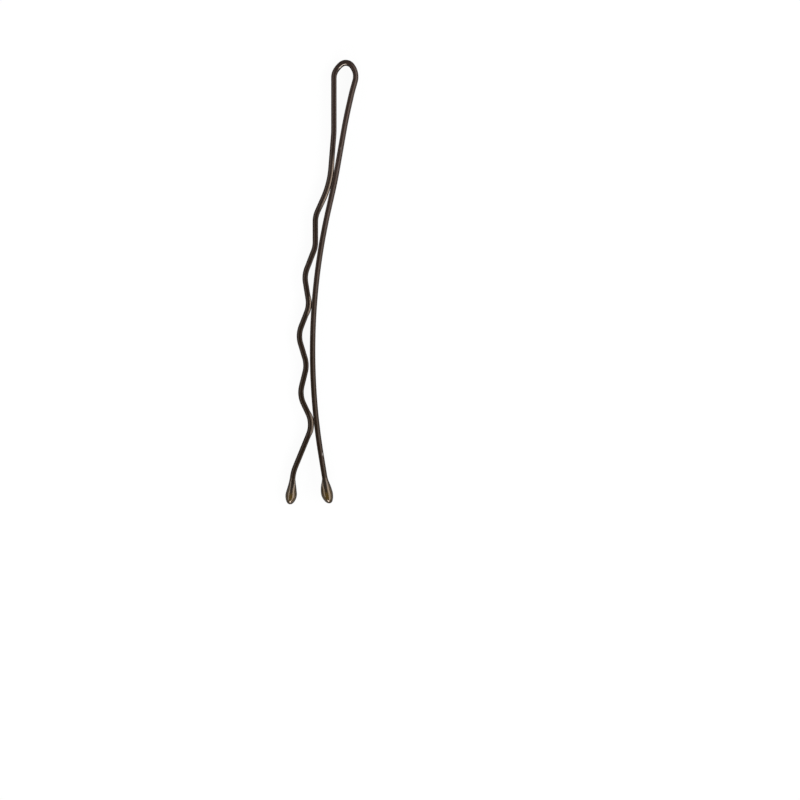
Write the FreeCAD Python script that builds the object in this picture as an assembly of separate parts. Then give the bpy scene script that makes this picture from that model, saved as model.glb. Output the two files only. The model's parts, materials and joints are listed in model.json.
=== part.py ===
import FreeCAD, Part
import math
import os

os.makedirs("parts", exist_ok=True)

# Crimped hair grip: one length of flattened spring wire folded over at the head.
# One leg is smooth and gently bowed, the other is crimped to hold the hair against it.
# Each end of the wire carries a dipped drop-shaped tip.
# Millimetres and degrees. The grip lies on its edge: +Y runs to the head, +Z along the bend axis.

Vector = FreeCAD.Vector
UP = Vector(0, 0, 1)

# Wire: round spring wire rolled flat, so that each edge stays a round arc
wire_thickness = 0.60
wire_width = 1.10
edge_arc_angle = 136

# Head: a tight crown between two easier shoulders
head_width = 2.97
crown_inner_radius = 0.56
shoulder_inner_radius = 1.70

# Straight leg: it leans inwards, eases upright between two slight set bends, then bows outwards to a straight end
straight_lean = 7.0
lead_run = 2.75
set_radius = 60.0
set_angle = 3.0
middle_run = 3.96
last_run = 1.62
bow_radius = 71.5
bow_angle = 22.1
straight_toe_run = 2.84

# Crimped leg: its bends are set off from the straight leg, by clear spaces between the two flats.
# Stations are lengths along the straight leg from the head.
ease_station = 6.12
ease_space = 0.47
ease_radius = 14.0
first_grip_station = 11.88
first_grip_radius = 10.2
first_crest_pitch = 3.89
half_pitch = 3.29
crimp_radius = 2.96
first_grip_gap = 0.05
second_grip_gap = 0.10
third_grip_gap = 0.06
fourth_grip_gap = 0.16
fifth_grip_gap = 0.09
first_crest_space = 0.62
second_crest_space = 0.72
third_crest_space = 0.90
fourth_crest_space = 0.86
flare_angle = 16.4
flare_length = 5.48
toe_angle = 0.9
toe_radius = 4.2
toe_run = 0.58

# Dipped tips: a thin film climbs the wire and a drop hangs on its end
tip_length = 2.8
tip_flat_swell = 0.34
tip_edge_swell = 0.25
tip_side_radius = 1.5
tip_nose_radius = 0.36
tip_film = 0.04
wire_embed = 1.75


def toward(angle):
    """Unit vector in the plane of the bend, at an angle from +X."""
    turn = math.radians(angle)
    return Vector(math.cos(turn), math.sin(turn), 0)


def angle_of(vector):
    """Angle from +X of a vector in the plane of the bend."""
    return math.degrees(math.atan2(vector.y, vector.x))


def section(place, heading, film=0.0):
    """Outline across the wire: two flats joined by round edges, grown by a film."""
    half_arc = math.radians(edge_arc_angle) / 2
    half_thickness = wire_thickness / 2 + film
    bulge = half_thickness * math.tan(half_arc / 2)
    flat = toward(heading + 90) * half_thickness
    edge = UP * (wire_width / 2 + film)
    corner = edge - UP * bulge
    return Part.Wire([
        Part.Arc(place + flat + corner, place + edge, place - flat + corner).toShape(),
        Part.makeLine(place - flat + corner, place - flat - corner),
        Part.Arc(place - flat - corner, place - edge, place + flat - corner).toShape(),
        Part.makeLine(place + flat - corner, place + flat + corner),
    ])


def step(place, heading, move):
    """Middle and end of a run (length) or a bend (radius, turn), with the heading at its end."""
    if len(move) == 1:
        end = place + toward(heading) * move[0]
        return (place + end) * 0.5, end, heading
    radius, turn = move
    side = math.copysign(90, turn)
    centre = place + toward(heading + side) * radius
    middle = centre - toward(heading + turn / 2 + side) * radius
    return middle, centre - toward(heading + turn + side) * radius, heading + turn


def formed_wire(place, heading, moves):
    """Wire swept along runs and bends, with its end place and heading."""
    outline = section(place, heading)
    path = []
    for move in moves:
        start = place
        middle, place, heading = step(start, heading, move)
        if len(move) == 1:
            path.append(Part.makeLine(start, place))
        else:
            path.append(Part.Arc(start, middle, place).toShape())
    sweep = Part.BRepOffsetAPI.MakePipeShell(Part.Wire(path))
    sweep.setBiNormalMode(UP)
    sweep.add(outline)
    sweep.build()
    sweep.makeSolid()
    return sweep.shape(), place, heading


def straight_place(station):
    """Place and heading at a length along the straight leg's centreline."""
    place, heading, left = straight_start, straight_heading, station
    for move in straight_moves:
        length = move[0] if len(move) == 1 else move[0] * math.radians(abs(move[1]))
        share = min(left / length, 1)
        part = (move[0] * share,) if len(move) == 1 else (move[0], move[1] * share)
        place, heading = step(place, heading, part)[1:]
        left -= length * share
    return place, heading


def turn_between(before, corner, after):
    """Signed turn of a path at a corner."""
    turn = angle_of(after - corner) - angle_of(corner - before)
    return (turn + 180) % 360 - 180


def rounded_moves(corners, radii):
    """Runs and bends along a chain of corners whose inner ones are rounded to their radii."""
    moves = []
    used = 0.0
    for before, corner, after, radius in zip(corners, corners[1:], corners[2:], radii):
        turn = turn_between(before, corner, after)
        tangent = radius * math.tan(math.radians(abs(turn)) / 2)
        moves.append(((corner - before).Length - used - tangent,))
        moves.append((radius, turn))
        used = tangent
    return moves


# Head: the crown's centre is the origin while forming, and both shoulders are tangent to the crown
crown_radius = crown_inner_radius + wire_thickness / 2
shoulder_radius = shoulder_inner_radius + wire_thickness / 2
half_head = (head_width - wire_thickness) / 2
shoulder_offset = shoulder_radius - half_head
shoulder_drop = math.sqrt((shoulder_radius - crown_radius) ** 2 - shoulder_offset ** 2)
straight_shoulder = Vector(-shoulder_offset, -shoulder_drop, 0)
crimped_shoulder = Vector(shoulder_offset, -shoulder_drop, 0)
shoulder_turn = math.degrees(math.atan2(shoulder_drop, shoulder_offset))

# Straight leg
straight_start = straight_shoulder + toward(-straight_lean) * shoulder_radius
straight_heading = -90 - straight_lean
straight_moves = [
    (lead_run,),
    (set_radius, set_angle),
    (middle_run,),
    (set_radius, -set_angle),
    (last_run,),
    (bow_radius, bow_angle),
    (straight_toe_run + wire_embed,),
]
straight_leg, straight_end, straight_end_heading = formed_wire(straight_start, straight_heading, straight_moves)
straight_neck = straight_end - toward(straight_end_heading) * wire_embed

# Crimped leg: after the first grip, crests and grips take turns
crest_spaces = [first_crest_space, second_crest_space, third_crest_space, fourth_crest_space]
grip_gaps = [second_grip_gap, third_grip_gap, fourth_grip_gap, fifth_grip_gap]
stations = [ease_station, first_grip_station]
spaces = [ease_space, first_grip_gap]
radii = [ease_radius, first_grip_radius]
crest_station = first_grip_station + first_crest_pitch
for crest_space, grip_gap in zip(crest_spaces, grip_gaps):
    stations += [crest_station, crest_station + half_pitch]
    spaces += [crest_space, grip_gap]
    radii += [crimp_radius, crimp_radius]
    crest_station += 2 * half_pitch
radii.append(toe_radius)

# A rounded corner falls short of its sharp one, so the sharp corners are moved out by as much.
# Moving a corner changes its turn a little, so a few passes let the places settle.
settling_passes = 6
shortfalls = [0.0] * len(stations)
for _ in range(settling_passes):
    corners = []
    for station, space, shortfall in zip(stations, spaces, shortfalls):
        place, heading = straight_place(station)
        reach = wire_thickness + space + shortfall
        corners.append(place - toward(heading + 90) * reach)
    tangent_way = corners[0] - crimped_shoulder
    tangent_angle = angle_of(tangent_way) - math.degrees(math.acos(shoulder_radius / tangent_way.Length))
    crimped_start = crimped_shoulder + toward(tangent_angle) * shoulder_radius
    toe_corner = corners[-1] + toward(-90 - flare_angle) * flare_length
    chain = [crimped_start] + corners + [toe_corner, toe_corner + toward(-90 - toe_angle)]
    for n in range(1, len(corners)):
        turn = turn_between(*chain[n : n + 3])
        short = radii[n] * (1 / math.cos(math.radians(turn) / 2) - 1)
        shortfalls[n] = math.copysign(short, turn)

crimped_heading = angle_of(corners[0] - crimped_start)
crimped_leg, crimped_end, crimped_end_heading = formed_wire(
    crimped_start,
    crimped_heading,
    rounded_moves(chain, radii) + [(toe_run + wire_embed,)],
)
crimped_neck = crimped_end - toward(crimped_end_heading) * wire_embed

# Head bend: from the straight leg over the crown to the crimped leg
head_bend = formed_wire(
    straight_start,
    straight_heading + 180,
    [
        (shoulder_radius, straight_lean + shoulder_turn),
        (crown_radius, 180 - 2 * shoulder_turn),
        (shoulder_radius, tangent_angle % 360 - (180 - shoulder_turn)),
    ],
)[0]


def dipped_tip(neck, heading):
    """Drop and film on a wire's end, with the socket that the wire fills."""
    largest = wire_thickness / 2 + tip_flat_swell
    dip = tip_side_radius - largest
    middle = tip_length - tip_nose_radius - math.sqrt((tip_side_radius - tip_nose_radius) ** 2 - dip ** 2)
    side_centre = Vector(middle, -dip, 0)
    nose_centre = Vector(tip_length - tip_nose_radius, 0, 0)
    root = Vector(0, wire_thickness / 2, 0)
    root_way = root - side_centre
    root_angle = angle_of(root_way) - math.degrees(math.acos(tip_side_radius / root_way.Length))
    nose_angle = angle_of(nose_centre - side_centre)
    cone_end = side_centre + toward(root_angle) * tip_side_radius
    side_end = side_centre + toward(nose_angle) * tip_side_radius
    outline = Part.Wire([
        Part.makeLine(Vector(0, 0, 0), root),
        Part.makeLine(root, cone_end),
        Part.Arc(cone_end, side_centre + Vector(0, tip_side_radius, 0), side_end).toShape(),
        Part.Arc(
            side_end,
            nose_centre + toward(nose_angle / 2) * tip_nose_radius,
            Vector(tip_length, 0, 0),
        ).toShape(),
        Part.makeLine(Vector(tip_length, 0, 0), Vector(0, 0, 0)),
    ])
    drop = Part.Face(outline).revolve(Vector(0, 0, 0), Vector(1, 0, 0), 360)
    widen = FreeCAD.Matrix()
    widen.A33 = (wire_width / 2 + tip_edge_swell) / largest
    drop = drop.transformGeometry(widen)
    film = Part.Face(section(Vector(0, 0, 0), 0, tip_film)).extrude(Vector(wire_embed, 0, 0))
    socket = Part.Face(section(Vector(0, 0, 0), 0)).extrude(Vector(wire_embed, 0, 0))
    tip = drop.fuse(film).cut(socket).Solids[0]
    tip.Placement = FreeCAD.Placement(neck, FreeCAD.Rotation(UP, heading))
    return tip


nodes = {
    "straight_leg": straight_leg,
    "head_bend": head_bend,
    "crimped_leg": crimped_leg,
    "straight_leg_tip": dipped_tip(straight_neck, straight_end_heading),
    "crimped_leg_tip": dipped_tip(crimped_neck, crimped_end_heading),
}

# The finished frame has its origin under the middle of the whole grip
box = Part.Compound(list(nodes.values())).optimalBoundingBox()
shift = Vector(-(box.XMin + box.XMax) / 2, -(box.YMin + box.YMax) / 2, -box.ZMin)
for name, shape in nodes.items():
    placed = shape.copy()
    placed.translate(shift)
    placed.exportStep("parts/" + name + ".step")
    print(name, "valid", placed.isValid(), "volume", round(placed.Volume, 3), "faces", len(placed.Faces))

rest_station = lead_run + set_radius * math.radians(set_angle) + middle_run / 2
rest_middle, rest_heading = straight_place(rest_station)
rest_way = toward(rest_heading + 90)
print("size", round(box.XLength, 3), round(box.YLength, 3), round(box.ZLength, 3))
print("bend axis", shift)
print("outer flat", rest_middle + rest_way * (wire_thickness / 2) + shift, rest_way)
print("straight neck", straight_neck + shift, "crimped neck", crimped_neck + shift)
print("straight start", straight_start + shift, "crimped start", crimped_start + shift)
print("clear space between the legs", round(straight_leg.distToShape(crimped_leg)[0], 4))
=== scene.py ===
# %% [markdown]
# # A crimped hair grip, dressed on its CAD frame
# The grip is one length of flattened spring wire. It is folded over at the head, crimped along one leg and
# dipped at both ends. The CAD frame fixes where everything is, and these cells give it its surfaces,
# its lacquer and its light. Every length is in metres, in the CAD's own frame.

# %% Load the frame
import json
import math

import bpy
import numpy as np
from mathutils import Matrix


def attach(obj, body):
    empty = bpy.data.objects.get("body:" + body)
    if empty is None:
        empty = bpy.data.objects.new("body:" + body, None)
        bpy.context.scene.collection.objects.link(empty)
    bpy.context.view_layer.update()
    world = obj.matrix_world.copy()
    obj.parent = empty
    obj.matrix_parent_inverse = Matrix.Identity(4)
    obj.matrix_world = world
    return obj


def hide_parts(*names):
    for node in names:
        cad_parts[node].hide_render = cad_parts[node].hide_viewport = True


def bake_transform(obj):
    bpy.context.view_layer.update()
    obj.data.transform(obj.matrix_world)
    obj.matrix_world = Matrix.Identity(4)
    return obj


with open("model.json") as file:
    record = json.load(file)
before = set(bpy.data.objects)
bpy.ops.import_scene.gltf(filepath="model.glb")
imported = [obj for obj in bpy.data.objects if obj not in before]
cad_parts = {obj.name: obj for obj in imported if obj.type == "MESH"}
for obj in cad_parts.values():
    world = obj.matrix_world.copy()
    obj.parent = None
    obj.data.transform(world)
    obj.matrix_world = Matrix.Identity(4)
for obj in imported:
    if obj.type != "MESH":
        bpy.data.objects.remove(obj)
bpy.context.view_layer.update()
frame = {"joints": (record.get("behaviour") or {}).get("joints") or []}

MM = 0.001
scene = bpy.context.scene
scene.view_settings.view_transform = "Standard"

# %% [markdown]
# ## Camera
# The grip lies on its edge and is seen from straight above, a little turned in the picture. A long lens
# about a forearm's length away fits the slight view of the inner wall of the head. The camera could be
# aimed by hand, but its place follows from three measures: the millimetres to one pixel, the turn of the
# grip in the picture, and the pixel where the bend axis of the head falls.

# %% Camera over the grip
picture_pixels = 800
pixel = 0.1119 * MM
picture_turn = math.radians(5.9)
crown_pixel = np.array([345.21, 70.35])
view_height = 277 * MM
sensor_width = 36.0

crown_centre = np.array(frame["joints"][0]["pos_m"])
across = np.array([math.cos(picture_turn), math.sin(picture_turn)])
upward = np.array([-math.sin(picture_turn), math.cos(picture_turn)])
middle_from_crown = (picture_pixels / 2 - crown_pixel) * pixel
view_middle = crown_centre[:2] + across * middle_from_crown[0] - upward * middle_from_crown[1]

camera = bpy.data.objects.new("camera", bpy.data.cameras.new("camera"))
camera.location = (*view_middle, crown_centre[2] + view_height)
camera.rotation_euler = (0, 0, picture_turn)
camera.data.sensor_width = sensor_width
camera.data.lens = sensor_width * view_height / (picture_pixels * pixel)
camera.data.clip_start = 10 * MM
scene.collection.objects.link(camera)
scene.camera = camera
print("camera at", [round(x, 5) for x in camera.location], "lens", round(camera.data.lens, 1))

# %% [markdown]
# ## The line of the wire
# The real wire is formed over pins, so its line is straight runs and round bends that meet without a kink.
# It could be drawn as a curve by hand, but a curve only comes near the bends. Here the line is worked out
# from the same sizes as the CAD, as a list of runs and bends, so the new surfaces lie where the solids lie.

# %% Sizes of the wire form
wire_thickness = 0.60 * MM
wire_width = 1.10 * MM
head_width = 2.97 * MM
crown_radius = 0.56 * MM + wire_thickness / 2
shoulder_radius = 1.70 * MM + wire_thickness / 2
straight_lean = math.radians(7.0)
lead_run, middle_run, last_run = 2.75 * MM, 3.96 * MM, 1.62 * MM
set_radius, set_angle = 60.0 * MM, math.radians(3.0)
bow_radius, bow_angle = 71.5 * MM, math.radians(22.1)
straight_toe_run = 2.84 * MM
wire_embed = 1.75 * MM
print("wire", round(wire_thickness / MM, 2), "by", round(wire_width / MM, 2), "mm")


# %% Runs and bends
def toward(angle):
    """Unit vectors in the plane of the bend: the cosine and the sine of each angle from +X."""
    return np.stack([np.cos(angle), np.sin(angle)], axis=-1)


def angle_of(vector):
    """Angle of a vector from +X."""
    return math.atan2(vector[1], vector[0])


def bent_line(place, heading, moves, spacing):
    """Places, headings and lengths along runs (length,) and bends (radius, turn).
    A run adds its length along the heading. A bend goes round a centre one radius to its side."""
    places, headings, lengths = [place[None]], [np.array([heading])], [np.zeros(1)]
    for move in moves:
        turn = move[1] if len(move) == 2 else 0.0
        length = move[0] * abs(turn) if turn else move[0]
        share = np.linspace(0, 1, max(2, math.ceil(length / spacing) + 1))[1:]
        if turn:
            side = math.copysign(math.pi / 2, turn)
            centre = place + toward(heading + side) * move[0]
            points = centre - toward(heading + turn * share + side) * move[0]
        else:
            points = place + np.outer(share, toward(heading)) * length
        places.append(points)
        headings.append(heading + turn * share)
        lengths.append(lengths[-1][-1] + length * share)
        place, heading = points[-1], heading + turn
    return np.concatenate(places), np.concatenate(headings), np.concatenate(lengths)


# %% Shoulders and the straight leg's line
half_head = (head_width - wire_thickness) / 2
shoulder_offset = shoulder_radius - half_head
shoulder_drop = math.sqrt((shoulder_radius - crown_radius) ** 2 - shoulder_offset ** 2)
shoulder_turn = math.atan2(shoulder_drop, shoulder_offset)
straight_shoulder = crown_centre[:2] + [-shoulder_offset, -shoulder_drop]
crimped_shoulder = crown_centre[:2] + [shoulder_offset, -shoulder_drop]
straight_start = straight_shoulder + toward(-straight_lean) * shoulder_radius
straight_heading = -math.pi / 2 - straight_lean

leg_spacing = 0.12 * MM
straight_moves = [
    (lead_run,),
    (set_radius, set_angle),
    (middle_run,),
    (set_radius, -set_angle),
    (last_run,),
    (bow_radius, bow_angle),
    (straight_toe_run + wire_embed,),
]
straight_line = bent_line(straight_start, straight_heading, straight_moves, leg_spacing)
print("straight leg from", straight_line[0][0] / MM, "to", straight_line[0][-1] / MM)

# %% [markdown]
# ## The crimped leg's line
# The crimps press hair against the other leg, so each grip and crest is set by its clear space from that
# leg and not by a regular wave. A rounded corner falls short of its sharp corner. A few passes find how far
# each sharp corner has to move out, so that the rounded wire has the wanted space. The last bend, above the
# drop, sits a little lower than the solid's, which moves the neck by less than a tenth of a millimetre.

# %% Sizes of the crimped leg
first_grip_station = 11.88 * MM
first_crest_step = 3.89 * MM
half_pitch = 3.29 * MM
crest_spaces = np.array([0.62, 0.72, 0.90, 0.86]) * MM
crest_stations = first_grip_station + first_crest_step + 2 * half_pitch * np.arange(len(crest_spaces))
first_grip_gap = 0.05 * MM
grip_gaps = np.array([0.10, 0.06, 0.16, 0.09]) * MM
flare_angle = math.radians(16.4)
solid_flare_length, solid_toe_run = 5.48 * MM, 0.58 * MM
toe_lag = 0.3 * MM
flare_length, toe_run = solid_flare_length + toe_lag, solid_toe_run - toe_lag
toe_angle = math.radians(0.9)
ease_station, ease_space = 6.12 * MM, 0.47 * MM
ease_radius, first_grip_radius, crimp_radius, toe_radius = 14.0 * MM, 10.2 * MM, 2.96 * MM, 4.2 * MM

crimp_stations = np.stack([crest_stations, crest_stations + half_pitch], axis=1).ravel()
crimp_spaces = np.stack([crest_spaces, grip_gaps], axis=1).ravel()
crimp_radii = [crimp_radius] * len(crimp_stations)
corner_stations = np.concatenate([[ease_station, first_grip_station], crimp_stations])
corner_spaces = np.concatenate([[ease_space, first_grip_gap], crimp_spaces])
corner_radii = np.array([ease_radius, first_grip_radius, *crimp_radii, toe_radius])
print("corners facing the straight leg at mm", np.round(corner_stations / MM, 2))


# %% Corners of the crimped leg
def corner_turns(chain):
    """Signed turn at each inner corner of a chain: the change of heading, brought to within half a turn."""
    ways = np.diff(chain, axis=0)
    headings = np.arctan2(ways[:, 1], ways[:, 0])
    return (np.diff(headings) + math.pi) % (2 * math.pi) - math.pi


straight_places, straight_headings, straight_lengths = straight_line
facing_axes = [np.interp(corner_stations, straight_lengths, axis) for axis in straight_places.T]
facing_places = np.stack(facing_axes, axis=1)
facing_headings = np.interp(corner_stations, straight_lengths, straight_headings)

shortfalls = np.zeros(len(corner_stations))
settling_passes = 6
for _ in range(settling_passes):
    reach = wire_thickness + corner_spaces + shortfalls
    corners = facing_places - toward(facing_headings + math.pi / 2) * reach[:, None]
    tangent_way = corners[0] - crimped_shoulder
    tangent_angle = angle_of(tangent_way) - math.acos(shoulder_radius / np.linalg.norm(tangent_way))
    crimped_start = crimped_shoulder + toward(tangent_angle) * shoulder_radius
    toe_corner = corners[-1] + toward(-math.pi / 2 - flare_angle) * flare_length
    toe_way = toe_corner + toward(-math.pi / 2 - toe_angle) * MM
    chain = np.concatenate([[crimped_start], corners, [toe_corner, toe_way]])
    turns = corner_turns(chain)
    rounding = corner_radii * (1 / np.cos(turns / 2) - 1) * np.sign(turns)
    shortfalls[1:] = rounding[1:-1]
print("sharp corners moved out by mm", np.round(shortfalls / MM, 3))

# %% Crimped leg and head lines
tangents = corner_radii * np.tan(np.abs(turns) / 2)
sides = np.linalg.norm(np.diff(chain, axis=0), axis=1)[:-1]
runs = sides - tangents - np.concatenate([[0], tangents[:-1]])
crimped_moves = []
for run, radius, turn in zip(runs, corner_radii, turns):
    crimped_moves += [(run,), (radius, turn)]
crimped_moves.append((toe_run + wire_embed,))
crimped_heading = angle_of(corners[0] - crimped_start)
crimped_line = bent_line(crimped_start, crimped_heading, crimped_moves, leg_spacing)

head_spacing = 0.05 * MM
head_moves = [
    (shoulder_radius, straight_lean + shoulder_turn),
    (crown_radius, math.pi - 2 * shoulder_turn),
    (shoulder_radius, tangent_angle % (2 * math.pi) - (math.pi - shoulder_turn)),
]
head_line = bent_line(straight_start, straight_heading + math.pi, head_moves, head_spacing)
print("head meets the crimped leg within", np.abs(head_line[0][-1] - crimped_start).max() / MM, "mm")
print("crimped leg from", crimped_line[0][0] / MM, "to", crimped_line[0][-1] / MM)

# %% [markdown]
# ## The section of the wire
# Round wire rolled flat keeps two flat faces and two round edges, with no sharp corner between them.
# Folding stretches the outer side, so each edge falls away more gently outwards than inwards. A rectangle
# with a bevel would lose that. Here each edge is two quarter ellipses that share a ridge nearer to the
# inner flat, so one broad highlight lies on the outer slope and a thin one on the inner corner, as on the
# real wire.

# %% Section outline
ridge_inward = 0.13 * MM
inner_fall = 0.16 * MM
outer_fall = 0.34 * MM
arc_points = 14
flat_points = 6


def wire_section():
    """Outline across the wire as inward distance and height, going round once from the inner flat. Over an
    edge the inward distance goes with the cosine and the height with the sine, on each side of the ridge
    with that side's own reach and fall."""
    quarter = np.linspace(0, math.pi / 2, arc_points)
    inner_reach = wire_thickness / 2 - ridge_inward
    outer_reach = wire_thickness / 2 + ridge_inward
    inner = np.stack([inner_reach * np.cos(quarter), inner_fall * (np.sin(quarter) - 1)], axis=1)
    outer = np.stack([-outer_reach * np.sin(quarter), outer_fall * (np.cos(quarter) - 1)], axis=1)[1:]
    edge = np.concatenate([inner, outer]) + [ridge_inward, wire_width / 2]
    rise = np.linspace(edge[-1, 1], -edge[-1, 1], flat_points)[1:-1]
    outer_flat = np.stack([np.full_like(rise, -wire_thickness / 2), rise], axis=1)
    rise = np.linspace(-edge[0, 1], edge[0, 1], flat_points)[1:-1]
    inner_flat = np.stack([np.full_like(rise, wire_thickness / 2), rise], axis=1)
    return np.concatenate([edge, outer_flat, edge[::-1] * [1, -1], inner_flat])


section = wire_section()
print("section points", len(section), "spans mm", np.ptp(section, axis=0) / MM)

# %% [markdown]
# ## From grid to mesh
# A carried section and a drop are both a grid of points: one parameter runs along the piece, the other runs
# round it. One helper turns such a grid into a closed mesh, with a fan of triangles on each end. The rim of
# a flat end is marked sharp, so that the shading of the long face doesn't bend round onto the end.


# %% Grid to mesh
def closed_tube(name, grid, attributes, round_end=False):
    """Mesh over a grid of rings by points. Face (i, j) joins points j and j + 1 of rings i and i + 1.
    Fans close both ends. A round end has its last ring's fan shaded with the side."""
    rings, around = grid.shape[:2]
    ends = np.stack([grid[0].mean(axis=0), grid[-1].mean(axis=0)])
    points = np.concatenate([grid.reshape(-1, 3), ends])
    i, j = np.meshgrid(np.arange(rings - 1), np.arange(around), indexing="ij")
    after = (j + 1) % around
    low, high = i * around, (i + 1) * around
    quads = np.stack([low + j, low + after, high + after, high + j], axis=-1)
    ring = np.arange(around)
    ring_after = (ring + 1) % around
    first = np.stack([np.full(around, rings * around), ring_after, ring], axis=1)
    last = (rings - 1) * around + np.stack([np.full(around, around + 1), ring, ring_after], axis=1)
    mesh = bpy.data.meshes.new(name)
    mesh.from_pydata(points, [], quads.reshape(-1, 4).tolist() + first.tolist() + last.tolist())
    mesh.polygons.foreach_set("use_smooth", np.ones(len(mesh.polygons), bool))
    edges = np.zeros(len(mesh.edges) * 2, int)
    mesh.edges.foreach_get("vertices", edges)
    on_first = (edges.reshape(-1, 2) < around).all(axis=1)
    on_last = (edges.reshape(-1, 2) // around == rings - 1).all(axis=1) & (not round_end)
    mesh.edges.foreach_set("use_edge_sharp", on_first | on_last)
    for label, values in attributes.items():
        flat = values.reshape(rings * around, -1)
        flat = np.concatenate([flat, flat[:around].mean(axis=0)[None], flat[-around:].mean(axis=0)[None]])
        kind, key = ("FLOAT_VECTOR", "vector") if flat.shape[1] == 3 else ("FLOAT", "value")
        layer = mesh.attributes.new(label, kind, "POINT")
        layer.data.foreach_set(key, flat.astype(np.float32).ravel())
    mesh.validate()
    piece = bpy.data.objects.new(name, mesh)
    scene.collection.objects.link(piece)
    print(name, "rings", rings, "around", around, "faces", len(mesh.polygons))
    return piece


# %% [markdown]
# ## Wire pieces
# On the real grip the wire is one piece, but its two legs move and the head bends between them, so it is
# carried as three pieces that meet ring to ring. Every point also keeps its place on the wire: the length
# from the head, how far inwards it lies, and its height. The lacquer's marks are laid along these, so they
# follow the wire round its bends and run on from piece to piece. Where a tight grip touches the other leg,
# and inside the crown, the corner's lacquer wears thin to metal, laid where the glints fall, so it is
# partly wear and partly painted highlight; every point keeps a share of that too.
# The solids must stay clear of each other, so the tight grips are drawn a few hundredths of a millimetre
# fuller here. The head also leans a trace to the straight side.

# %% Corner wear with painted glints, painted fold shade, and lean
head_length = head_line[2][-1]
head_lean = 0.07 * MM
lean_rise = (-1.6 * MM, 0.4 * MM)
lean_fall = (0.68 * head_length, 0.92 * head_length)

corner_ease = 0.06 * MM
grip_corner = (0.09 * MM, 0.27 * MM)
crown_corner = (0.14 * MM, 0.28 * MM)
grip_strength, crown_strength = 0.6, 1.0
# The fold's inner flat is painted near black here: painted shade inside the fold.
fold_shade_flat = (0.22 * MM, 0.27 * MM)
fold_shade_fade = 1.0 * MM
head_fold_shade = 0.95

# The corner wear is laid where the glints fall on the inner corners: partly wear, partly painted highlight.
tight_grips = [0, 2, 4]
wear_glint_reaches = np.array([3.4, 1.2, 1.4]) * MM
fullnesses = np.array([0.038, 0.045, 0.07]) * MM
first_grip_move, moves_per_crimp = 3, 4
move_lengths = np.array([move[0] if len(move) == 1 else move[0] * abs(move[1]) for move in crimped_moves])
bend_middles = np.cumsum(move_lengths) - move_lengths / 2
grip_lengths = bend_middles[first_grip_move::moves_per_crimp][tight_grips]
grip_places = zip(grip_lengths, wear_glint_reaches, fullnesses)
grip_wear_glints = [(length, reach, grip_strength, fullness) for length, reach, fullness in grip_places]
crown_wear_glint_length, crown_wear_glint_reach = 0.63 * head_length, 0.85 * MM
crown_wear_glint = (crown_wear_glint_length, crown_wear_glint_reach, crown_strength, 0.0)
print("tight grips at mm", np.round(grip_lengths / MM, 2), "of the crimped leg")


# %% Carry the section along the lines
def eased(low, high, value):
    """Smooth step: 0 below low, 1 above high, and three squares less two cubes between them."""
    share = np.clip((value - low) / (high - low), 0, 1)
    return share * share * (3 - 2 * share)


def facing_inward(outline, inward_sign):
    """The outline with its inner flat to the left of the heading (1) or to the right (-1). A mirrored
    outline is also taken backwards, so that its faces still look outwards."""
    return outline if inward_sign > 0 else (outline * [-1, 1])[::-1]


def head_leaning(on_wire):
    """Share of the head's lean at lengths on the wire: it rises along the start of the straight leg, is
    full over the crown and has faded before the crimped leg."""
    return eased(*lean_rise, on_wire) * (1 - eased(*lean_fall, on_wire))


def carried_wire(name, line, first_length, length_sign, inward_sign, wear_glints=(), corner=grip_corner, pooled=0):
    """The section carried along a line: a point is the line's place, plus the section's first value
    sideways to the heading, plus its second value straight up. Each corner wear (length, reach, strength,
    fullness), which also lays painted glints, falls off along the wire from its length, and to both sides
    of the inner corner. Its fullness moves the inner flat. Fold shade, painted shade that darkens the inner
    flat, lies there and thins out towards both ends of the line."""
    places, headings, lengths = line
    lengths_on_wire = first_length + length_sign * lengths
    places = places + np.outer(head_leaning(lengths_on_wire), [head_lean, 0])
    outline = facing_inward(section, inward_sign)
    sideways = toward(headings + math.pi / 2)
    inward = inward_sign * outline[:, 0]
    wear_glint_share, full = np.zeros(len(lengths)), np.zeros(len(lengths))
    for length, reach, strength, fullness in wear_glints:
        nearness = 1 - eased(reach / 2, reach, np.abs(lengths - length))
        wear_glint_share = np.maximum(wear_glint_share, strength * nearness)
        full = np.maximum(full, fullness * nearness)
    fuller = inward_sign * np.outer(full, eased(ridge_inward, wire_thickness / 2, inward))
    across_distances = outline[None, :, 0] + fuller
    grid = np.zeros((len(places), len(outline), 3))
    grid[..., :2] = places[:, None] + across_distances[..., None] * sideways[:, None]
    grid[..., 2] = crown_centre[2] + outline[None, :, 1]
    on_wire = np.zeros_like(grid)
    on_wire[..., 0] = lengths_on_wire[:, None]
    on_wire[..., 1] = inward
    on_wire[..., 2] = outline[None, :, 1]
    on_corner = eased(corner[0], corner[0] + corner_ease, inward)
    on_corner = on_corner * (1 - eased(corner[1] - corner_ease, corner[1], inward))
    # The fold share lays painted shade on the inner flat.
    fold_shade_share = pooled * eased(0, fold_shade_fade, lengths) * eased(0, fold_shade_fade, lengths[-1] - lengths)
    # The corner share carries wear and painted glints; the fold share carries painted shade.
    attributes = {
        "wire_place": on_wire,
        "rubbed": np.outer(wear_glint_share, on_corner)[..., None],
        "pooled": np.outer(fold_shade_share, eased(*fold_shade_flat, inward))[..., None],
    }
    return closed_tube(name, grid, attributes)


straight_wire = carried_wire("straight_leg_wire", straight_line, 0.0, -1, -1)
head_wire = carried_wire("head_wire", head_line, 0.0, 1, 1, [crown_wear_glint], crown_corner, head_fold_shade)
crimped_wire = carried_wire("crimped_leg_wire", crimped_line, head_length, 1, 1, grip_wear_glints)

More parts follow.
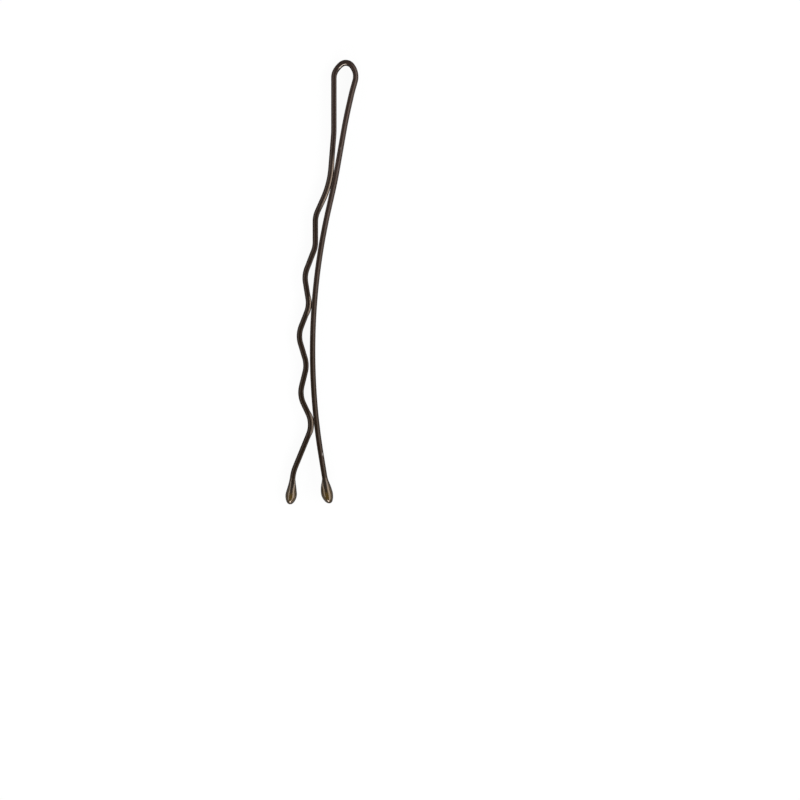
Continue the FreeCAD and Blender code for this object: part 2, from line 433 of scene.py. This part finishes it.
# %% [markdown]
# ## Dipped drops
# Each end is dipped in resin, which hangs as a drop: a thin film on the wire swells to an oval body and
# ends in a round nose. A squashed sphere would miss the long pull of the film. The drop is a grid of rings
# whose half widths follow a slope, a side arc and a nose arc, and whose outline goes over from the wire's
# own section to an oval. Every point keeps the depth of clear resin behind it, because that sets its
# colour.

# %% Sizes of a drop
drop_length = 2.83 * MM
drop_half_width = wire_thickness / 2 + 0.34 * MM
drop_half_height = wire_width / 2 + 0.25 * MM
side_radius = 1.5 * MM
nose_radius = 0.44 * MM
nose_bluntness = 0.68
film_reach = 0.1 * MM
film_thickness = 0.012 * MM
film_edge = 0.003 * MM
drop_rings = 90

side_dip = side_radius - drop_half_width
nose_centre = drop_length - nose_radius
side_centre = nose_centre - math.sqrt((side_radius - nose_radius) ** 2 - side_dip ** 2)
root_way = np.array([-side_centre, wire_thickness / 2 + side_dip])
slope_angle = angle_of(root_way) - math.acos(side_radius / np.linalg.norm(root_way))
nose_angle = math.atan2(side_dip, nose_centre - side_centre)
slope_end = side_centre + side_radius * math.cos(slope_angle)
side_end = side_centre + side_radius * math.cos(nose_angle)


def drop_half_widths(along):
    """Half width along a drop: a slope tangent to the side arc, then that arc, then the nose arc."""
    slope = wire_thickness / 2 - along / math.tan(slope_angle)
    side = np.sqrt(np.maximum(side_radius ** 2 - (along - side_centre) ** 2, 0)) - side_dip
    nose = np.sqrt(np.maximum(nose_radius ** 2 - (along - nose_centre) ** 2, 0))
    return np.where(along < slope_end, slope, np.where(along < side_end, side, nose))


along_check = np.linspace(0, drop_length, 8)
print("drop half widths in mm", np.round(drop_half_widths(along_check) / MM, 3))

# %% Drop surface
film_full = 0.3 * MM
film_ends = (0.9 * MM, 1.7 * MM)
film_softness = 0.03 * MM
belly_full, belly_end = 0.9 * MM, 2.2 * MM
oval_full = 1.3 * MM
core_blur = (0.06 * MM, 0.1 * MM)
resin_full = 0.5 * MM


def soft_larger(first, second, softness):
    """The larger of two values with a soft change-over: half of their sum plus the root of their squared
    difference and the squared softness."""
    return (first + second + np.sqrt((first - second) ** 2 + softness ** 2)) / 2


def dipped_drop(name, neck, heading, inward_sign, swing, belly):
    """Rings along the drop, close together at the nose. Each ring is the wire's section grown by the film,
    going over to an oval. Its half height goes with a power of its half width below one, so that the nose
    is blunter seen from the side. Swing moves the rings sideways, by a polynomial in millimetres of the
    share of the drop's length, because the resin doesn't set quite in line. Belly is how much fuller the
    drop is below its neck. Clear depth is the drop's whole height beside the wire, and over the wire only
    the resin above it."""
    share = np.linspace(0, 1, drop_rings)[:-1]
    along = drop_length - (drop_length + film_reach) * (1 - share) ** 2
    fade = 1 - eased(*film_ends, along)
    film = film_edge + film_thickness * eased(-film_reach, film_full, along)
    widths = drop_half_widths(np.maximum(along, 0)) * eased(-film_reach, 0, along)
    widths = widths + belly * eased(0, belly_full, along) * (1 - eased(belly_full, belly_end, along))
    softness = film_softness * fade
    half_width = soft_larger(widths, (wire_thickness / 2 + film) * fade, softness)
    tall = drop_half_height * (widths / drop_half_width) ** nose_bluntness
    half_height = soft_larger(tall, (wire_width / 2 + film) * fade, softness)
    before_drop = along < -film_reach / 2
    half_width = np.where(before_drop, wire_thickness / 2 + film, half_width)
    half_height = np.where(before_drop, wire_width / 2 + film, half_height)

    wire_outline = facing_inward(section, inward_sign) / [wire_thickness / 2, wire_width / 2]
    oval_angle = np.arctan2(wire_outline[:, 1], wire_outline[:, 0])
    oval = toward(oval_angle)
    oval_share = eased(0.0, oval_full, along)[:, None, None]
    outline = wire_outline * (1 - oval_share) + oval * oval_share
    outline = outline * np.stack([half_width, half_height], axis=1)[:, None]

    height = np.abs(outline[..., 1])
    # Shallow resin at the rim gives painted shade in the resin's colour.
    core = (wire_thickness / 2 * (1 - np.maximum(along, 0) / wire_embed))[:, None]
    clear = eased(core - core_blur[0], core + core_blur[1], np.abs(outline[..., 0]))
    depth = np.maximum(height - wire_width / 2, 0) * (1 - clear) + 2 * height * clear
    resin = np.broadcast_to(eased(-film_reach, resin_full, along)[:, None], depth.shape)

    sideways = toward(heading + math.pi / 2)
    offset = np.polyval(swing, np.maximum(along, 0) / drop_length) * MM
    grid = np.zeros((*outline.shape[:2], 3))
    centre_line = neck + np.outer(along, toward(heading)) + np.outer(offset, sideways)
    grid[..., :2] = centre_line[:, None] + outline[..., :1] * sideways
    grid[..., 2] = crown_centre[2] + outline[..., 1]
    along_drop = np.broadcast_to(along[:, None, None], outline[..., :1].shape)
    on_drop = np.concatenate([along_drop, outline], axis=-1)
    attributes = {"resin_depth": depth[..., None], "resin_share": resin[..., None], "wire_place": on_drop}
    return closed_tube(name, grid, attributes, round_end=True)


# %% Drops on both legs
straight_swing, straight_belly = (0.09, 0.24, -0.24, 0), 0.07 * MM
crimped_swing, crimped_belly = (-0.19, 0.22, 0), 0.0


def neck_of(line):
    """Place and heading where the wire goes into its drop: its end, less the length inside the drop."""
    return line[0][-1] - toward(line[1][-1]) * wire_embed, line[1][-1]


straight_neck, crimped_neck = neck_of(straight_line), neck_of(crimped_line)
straight_drop = dipped_drop("straight_leg_drop", *straight_neck, -1, straight_swing, straight_belly)
crimped_drop = dipped_drop("crimped_leg_drop", *crimped_neck, 1, crimped_swing, crimped_belly)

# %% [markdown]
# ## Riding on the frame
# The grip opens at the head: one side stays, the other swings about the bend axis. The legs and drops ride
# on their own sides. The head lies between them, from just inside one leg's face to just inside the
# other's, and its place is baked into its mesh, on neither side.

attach(straight_wire, "straight_side")
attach(straight_drop, "straight_side")
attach(crimped_wire, "crimped_side")
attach(crimped_drop, "crimped_side")
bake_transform(head_wire)
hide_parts("straight_leg")
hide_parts("head_bend")
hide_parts("crimped_leg")
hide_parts("straight_leg_tip")
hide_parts("crimped_leg_tip")

# %% [markdown]
# ## Nodes
# A material is a tree of nodes. Placing and linking each node by hand hides what the tree says, so a few
# helpers place one node each, take constants or other nodes' outputs alike, and give back the output.


# %% Node helpers
def feed(tree, socket, value):
    """Give a socket a constant, or link another node's output to it."""
    if isinstance(value, bpy.types.NodeSocket):
        tree.links.new(value, socket)
    else:
        socket.default_value = value


def add(tree, kind, place, inputs=(), **settings):
    """New node of a kind at a place, with its settings. An input is a constant or another node's output."""
    node = tree.nodes.new(kind)
    node.location = place
    for key, value in settings.items():
        setattr(node, key, value)
    for key, value in dict(inputs).items():
        feed(tree, node.inputs[key], value)
    return node


def kept(tree, place, attribute, output="Fac"):
    """Output with what the points of the mesh keep under a name, as a value or a vector."""
    return add(tree, "ShaderNodeAttribute", place, attribute_name=attribute).outputs[output]


def maths(tree, place, operation, *values, **settings):
    """Output of a maths node over its values."""
    inputs = dict(enumerate(values))
    return add(tree, "ShaderNodeMath", place, inputs, operation=operation, **settings).outputs["Value"]


def vectors(tree, place, operation, first, second, output="Vector"):
    """Output of a maths node over two vectors, which is a vector or a value."""
    inputs = {0: first, 1: second}
    return add(tree, "ShaderNodeVectorMath", place, inputs, operation=operation).outputs[output]


def mixed(tree, place, kind, first, second, factor):
    """Output from the first colour (RGBA) or value (FLOAT) at factor 0 to the second at factor 1."""
    inputs = {"Factor": factor, "A": first, "B": second}
    return add(tree, "ShaderNodeMix", place, inputs, data_type=kind).outputs["Result"]


def ranged(tree, place, value, old, new=(0.0, 1.0), **settings):
    """Output that brings a value from an old range to a new one, and stays within the new one."""
    inputs = {"Value": value, "From Min": old[0], "From Max": old[1], "To Min": new[0], "To Max": new[1]}
    return add(tree, "ShaderNodeMapRange", place, inputs, **settings).outputs["Result"]


def ramped(tree, place, factor, tones):
    """Output of a colour ramp over a factor, from tones (position, colour) in order."""
    node = add(tree, "ShaderNodeValToRGB", place, {"Fac": factor})
    elements = node.color_ramp.elements
    for position, _ in tones[1:-1]:
        elements.new(position)
    for element, (position, colour) in zip(elements, tones):
        element.position = position
        element.color = colour
    return node.outputs["Color"]


def new_finish(name, constants):
    """New material with constants on its shader: the material, its node tree and its shader's inputs."""
    material = bpy.data.materials.new(name)
    material.use_nodes = True
    surface = material.node_tree.nodes["Principled BSDF"].inputs
    for key, value in constants.items():
        surface[key].default_value = value
    return material, material.node_tree, surface


# %% [markdown]
# ## Lacquer on the wire
# The wire is browned and lacquered. Close to, it has fine marks along its length, from drawing and rolling.
# Its brown is painted darker from plum at the head to umber at the ends: painted shade, where the light
# falls off towards the tips. The marks are noise that is stretched a hundredfold along the wire's own
# places, so they bend with it. The inner flat inside the fold is painted near black, as painted shade, and
# is rougher and not metallic there. Where the corners wear on the tight grips and inside the crown, bronze
# or steel shows, laid where the glints fall, so it is partly wear and partly painted highlight. There are
# two small nicks.

# %% Lengthwise marks
mark_scales = {"Across": 9000.0, "Along": 90.0}
mark_noise = {"Scale": 1.0, "Detail": 3.0, "Roughness": 0.6}


def stretched_marks():
    """Group: noise over the wire's places, stretched along the wire. It puts out marks from 0 to 1."""
    tree = bpy.data.node_groups.new("lengthwise_marks", "ShaderNodeTree")
    for name, scale in mark_scales.items():
        socket = tree.interface.new_socket(name, in_out="INPUT", socket_type="NodeSocketFloat")
        socket.default_value = scale
    tree.interface.new_socket("Marks", in_out="OUTPUT", socket_type="NodeSocketFloat")
    inside = add(tree, "NodeGroupInput", (-600, 0)).outputs
    scales = {"X": inside["Along"], "Y": inside["Across"], "Z": inside["Across"]}
    stretch = add(tree, "ShaderNodeCombineXYZ", (-400, 0), scales).outputs["Vector"]
    wire_place = kept(tree, (-600, 200), "wire_place", "Vector")
    scaled = vectors(tree, (-200, 100), "MULTIPLY", wire_place, stretch)
    noise = add(tree, "ShaderNodeTexNoise", (0, 100), {"Vector": scaled, **mark_noise}).outputs["Fac"]
    add(tree, "NodeGroupOutput", (200, 100), {"Marks": noise})
    return tree


marks_group = stretched_marks()
print("group", marks_group.name, [socket.name for socket in marks_group.interface.items_tree])

# %% Tone of the lacquer
head_brown = (0.043, 0.0272, 0.0222, 1)
# Darker brown at the ends: painted shade, where the light falls off towards the tips.
shaded_end_brown = (0.0212, 0.0118, 0.0060, 1)
# Near black for the fold's inner flat: painted shade.
fold_shade_brown = (0.004, 0.0025, 0.0015, 1)
end_shade_lengths = (10 * MM, 34 * MM)
drift_noise = {"Scale": 420.0, "Detail": 2.0}
noise_range = (0.3, 0.7)
drift_range = (-0.25, 0.25)


def lacquer_tone(tree, wire_place, pooled, shade):
    """Colour of the lacquer: from the head's brown to the darker brown of the ends by the length from the
    head, which is painted shade, give or take a drift in patches, painted near black inside the fold as
    painted shade, and times the shade of the marks."""
    length = add(tree, "ShaderNodeSeparateXYZ", (-1700, 200), {"Vector": wire_place}).outputs["X"]
    # Darker by the length from the head: painted shade towards the tips.
    end_shade = ranged(tree, (-1300, 200), maths(tree, (-1500, 200), "ABSOLUTE", length), end_shade_lengths)
    where = add(tree, "ShaderNodeTexCoord", (-1500, 400)).outputs["Object"]
    drift = add(tree, "ShaderNodeTexNoise", (-1300, 400), {"Vector": where, **drift_noise}).outputs["Fac"]
    patch = ranged(tree, (-1100, 400), drift, noise_range, drift_range)
    end_shade_with_drift = maths(tree, (-1000, 250), "ADD", end_shade, patch, use_clamp=True)
    end_shaded_hue = mixed(tree, (-900, 300), "RGBA", head_brown, shaded_end_brown, end_shade_with_drift)
    hue = mixed(tree, (-700, 400), "RGBA", end_shaded_hue, fold_shade_brown, pooled)
    return vectors(tree, (-800, 200), "MULTIPLY", hue, shade)


# The span of lengths over which the painted shade darkens the wire.
print("lacquer drains from", round(end_shade_lengths[0] / MM), "to", round(end_shade_lengths[1] / MM), "mm")

# %% Corner wear with painted glints, and nicks
# Bronze and steel on the wearing corners, laid where the glints fall: wear and painted highlight.
bronze, steel_wear_glint = (0.41, 0.32, 0.25, 1), (0.68, 0.60, 0.53, 1)
wear_glint_tones = [(0.0, bronze), (grip_strength, bronze), (crown_strength, steel_wear_glint)]
bare_steel = (0.56, 0.52, 0.50, 1)
# Each nick has its place on the wire and its strength.
nicks = [((-7.8 * MM, -0.02 * MM, 0.54 * MM), 0.12), ((-42.3 * MM, -0.22 * MM, 0.42 * MM), 0.6)]
nick_stretch = (0.5, 1.0, 1.0)
nick_reach = (0.03 * MM, 0.12 * MM)


def nick_mask(tree, wire_place):
    """Strength of the nicks: each falls off with the distance from its centre, which counts half along the
    wire, and the stronger of the two holds."""
    shortened = vectors(tree, (-1200, -500), "MULTIPLY", wire_place, nick_stretch)
    masks = []
    for row, (centre, strength) in enumerate(nicks):
        row_place = -500 - 150 * row
        middle = np.array(centre) * nick_stretch
        away = vectors(tree, (-1000, row_place), "DISTANCE", shortened, middle, "Value")
        masks.append(ranged(tree, (-800, row_place), away, nick_reach, (strength, 0.0)))
    return maths(tree, (-600, -500), "MAXIMUM", *masks)


print("nicks at mm", [round(centre[0] / MM, 1) for centre, _ in nicks], "along the wire")

# %% Lacquered wire material
lacquer_gloss = {"Specular IOR Level": 0.36, "Specular Tint": (1.0, 0.88, 0.79, 1)}
lacquer_shades = (0.75, 1.25)
lacquer_metallic = 0.35
lacquer_roughness = (0.24, 0.34)
fold_shade_roughness = 0.8
mark_relief = {"Strength": 0.25, "Distance": 0.01 * MM}


def lacquered_wire():
    """Brown lacquer with marks in its tone, gloss and relief, painted darker towards the ends and near
    black inside the fold as painted shade, nicked to metal, and wearing through to metal on the corners
    where the glints fall, which is partly wear and partly painted highlight.
    """
    finish, tree, surface = new_finish("brown_lacquer", lacquer_gloss)
    wire_place = kept(tree, (-1900, 200), "wire_place", "Vector")
    pooled = kept(tree, (-900, 500), "pooled")
    rubbed = kept(tree, (-1300, -300), "rubbed")
    marks = add(tree, "ShaderNodeGroup", (-1300, 0), node_tree=marks_group).outputs["Marks"]
    shade = ranged(tree, (-1100, 0), marks, noise_range, lacquer_shades)
    tone = lacquer_tone(tree, wire_place, pooled, shade)
    patchy_wear_glint = maths(tree, (-1000, -300), "MULTIPLY", rubbed, shade, use_clamp=True)
    nick = nick_mask(tree, wire_place)

    # Metal on the corners: wear, and painted highlight where the glints fall.
    wear_glint_hue = ramped(tree, (-1000, -150), rubbed, wear_glint_tones)
    tone_with_wear_glints = mixed(tree, (-600, 200), "RGBA", tone, wear_glint_hue, patchy_wear_glint)
    feed(tree, surface["Base Color"], mixed(tree, (-300, 200), "RGBA", tone_with_wear_glints, bare_steel, nick))
    bare = maths(tree, (-600, -200), "MAXIMUM", patchy_wear_glint, nick)
    # Inside the fold: painted shade in the colour, and no metal and more roughness in the gloss.
    lacquer_metal = mixed(tree, (-600, -350), "FLOAT", lacquer_metallic, 0.0, pooled)
    feed(tree, surface["Metallic"], ranged(tree, (-400, -200), bare, (0.0, 1.0), (lacquer_metal, 1.0)))
    rough = ranged(tree, (-400, 0), marks, noise_range, lacquer_roughness)
    feed(tree, surface["Roughness"], mixed(tree, (-200, 0), "FLOAT", rough, fold_shade_roughness, pooled))
    relief = add(tree, "ShaderNodeBump", (-400, -400), {"Height": marks, **mark_relief})
    feed(tree, surface["Normal"], relief.outputs["Normal"])
    return finish


wire_finish = lacquered_wire()
for piece in (straight_wire, head_wire, crimped_wire):
    piece.data.materials.append(wire_finish)
print("finish", wire_finish.name, "with", len(wire_finish.node_tree.nodes), "nodes")

# %% [markdown]
# ## Resin on the drops
# The drops are dipped in a brown resin that is clear enough for depth to show. Over the wire it is thin and
# the dark wire shows through. At the rim the resin is painted dark as if thin: painted shade. Beside and
# beyond the wire it is deep and is painted amber olive: painted light that stands in for light sent through
# clear resin. Real clear resin would need light sent through it. The depth that was worked out with the
# shape picks the colour instead, which also holds in other viewers.

# %% Dipped resin material
resin_gloss = {"Specular IOR Level": 1.0, "Specular Tint": (1.0, 0.82, 0.68, 1)}
# Dark where the resin is shallow: the wire showing through, and painted shade at the rim. Amber olive where
# deep: painted light.
resin_tones_with_painted_light = [
    (0.0, (0.012, 0.0075, 0.0045, 1)),
    (0.50, (0.016, 0.0095, 0.0055, 1)),
    (0.75, (0.060, 0.039, 0.017, 1)),
    (1.0, (0.078, 0.047, 0.011, 1)),
]
full_depth = 1.5 * MM
flow_scales = {"Across": 2600.0, "Along": 500.0}
resin_shades = (0.8, 1.2)
neck_roughness, resin_roughness = 0.29, 0.11


def dipped_resin():
    """Gloss resin whose tone goes with its clear depth, dark at the rim as painted shade and amber olive
    where deep as painted light, faded into the wire's lacquer at the neck.
    """
    finish, tree, surface = new_finish("dipped_resin", resin_gloss)
    depth = ranged(tree, (-900, 200), kept(tree, (-1100, 200), "resin_depth"), (0.0, full_depth))
    resin = kept(tree, (-700, -350), "resin_share")
    flow = add(tree, "ShaderNodeGroup", (-900, -100), flow_scales, node_tree=marks_group).outputs["Marks"]
    shade = ranged(tree, (-700, -100), flow, noise_range, resin_shades)
    tone = vectors(tree, (-400, 150), "MULTIPLY", ramped(tree, (-700, 200), depth, resin_tones_with_painted_light), shade)
    feed(tree, surface["Base Color"], mixed(tree, (-200, 150), "RGBA", shaded_end_brown, tone, resin))
    feed(tree, surface["Metallic"], mixed(tree, (-200, -100), "FLOAT", lacquer_metallic, 0.0, resin))
    rough = mixed(tree, (-200, -300), "FLOAT", neck_roughness, resin_roughness, resin)
    feed(tree, surface["Roughness"], rough)
    return finish


resin_finish = dipped_resin()
for piece in (straight_drop, crimped_drop):
    piece.data.materials.append(resin_finish)
print("finish", resin_finish.name, "with", len(resin_finish.node_tree.nodes), "nodes")

# %% [markdown]
# ## Floor
# The grip lies on white paper. The paper is lit like anything else, so it keeps the shadow. To the camera
# and in reflections it also glows, which brings it up to white without more light on the grip.

# %% Floor
floor_half = 3.0
paper_constants = {"Roughness": 0.9, "Specular IOR Level": 0.1, "Emission Color": (1, 1, 1, 1)}
paper_grey, seen_grey = (0.3, 0.3, 0.3, 1), (0.07, 0.07, 0.07, 1)
seen_glow, reflected_glow = 0.94, 0.05

floor_mesh = bpy.data.meshes.new("paper_floor")
corners_of_floor = np.array([[-1, -1, 0], [1, -1, 0], [1, 1, 0], [-1, 1, 0]]) * floor_half
floor_mesh.from_pydata(corners_of_floor, [], [[0, 1, 2, 3]])
floor = bpy.data.objects.new("paper_floor", floor_mesh)
scene.collection.objects.link(floor)

paper, tree, surface = new_finish("white_paper", paper_constants)
path = add(tree, "ShaderNodeLightPath", (-900, 0)).outputs
mirrored = maths(tree, (-700, -200), "MAXIMUM", path["Is Glossy Ray"], path["Is Transmission Ray"])
paper_colour = mixed(tree, (-400, 100), "RGBA", paper_grey, seen_grey, path["Is Camera Ray"])
feed(tree, surface["Base Color"], paper_colour)
camera_glow = maths(tree, (-500, -100), "MULTIPLY", path["Is Camera Ray"], seen_glow)
mirror_glow = maths(tree, (-500, -250), "MULTIPLY", mirrored, reflected_glow)
feed(tree, surface["Emission Strength"], maths(tree, (-300, -150), "ADD", camera_glow, mirror_glow))
floor_mesh.materials.append(paper)
print("floor", 2 * floor_half, "m wide")

# %% [markdown]
# ## Light and surround
# A broad softbox stands on the grip's right, and narrow lights stand on its left and at its feet. A dim
# ceiling is brighter towards the head. Long lights give the long highlights of the wire, which a small
# lamp would shrink to dots.

# %% Lights
light_distance = 0.6


def strip_light(name, bearing, elevation, length, width, radiance):
    """Area light aimed at the grip, at a bearing from the picture's right and a height above the floor.
    Its power is its radiance times its area times pi."""
    light = bpy.data.lights.new(name, "AREA")
    light.shape = "RECTANGLE"
    light.size = length
    light.size_y = width
    light.energy = radiance * length * width * math.pi
    flat = across * math.cos(math.radians(bearing)) + upward * math.sin(math.radians(bearing))
    rise = math.radians(elevation)
    lamp = bpy.data.objects.new(name, light)
    lamp.location = (*(flat * math.cos(rise) * light_distance), math.sin(rise) * light_distance)
    lamp.rotation_euler = (-lamp.location).to_track_quat("-Z", "Y").to_euler()
    lamp.visible_camera = False
    scene.collection.objects.link(lamp)
    print(name, "power", round(light.energy, 3))


strip_light("right_softbox", bearing=4, elevation=32, length=0.8, width=0.46, radiance=3.0)
strip_light("right_foot_strip", bearing=-56, elevation=32, length=0.4, width=0.16, radiance=3.4)
strip_light("left_strip", bearing=180, elevation=32, length=0.8, width=0.24, radiance=2.5)
strip_light("foot_light", bearing=-92, elevation=26, length=0.3, width=0.15, radiance=14.0)

# %% Surround
ceiling_reach, ceiling_levels = (-0.12, 0.4), (0.04, 0.28)
horizon_level, horizon_heights = 0.22, (0.2, 0.5)

world = bpy.data.worlds.new("dim_room")
scene.world = world
world.use_nodes = True
tree = world.node_tree
way = add(tree, "ShaderNodeTexCoord", (-900, 0)).outputs["Generated"]
headward = vectors(tree, (-700, -150), "DOT_PRODUCT", way, (*upward, 0), "Value")
smooth = {"interpolation_type": "SMOOTHSTEP"}
ceiling = ranged(tree, (-500, -150), headward, ceiling_reach, ceiling_levels, **smooth)
height = add(tree, "ShaderNodeSeparateXYZ", (-700, 100), {"Vector": way}).outputs["Z"]
rise = ranged(tree, (-500, 100), height, horizon_heights)
brightness = mixed(tree, (-250, 0), "FLOAT", horizon_level, ceiling, rise)
feed(tree, tree.nodes["Background"].inputs["Color"], brightness)
print("surround", world.name, "from", ceiling_levels[0], "to", ceiling_levels[1])
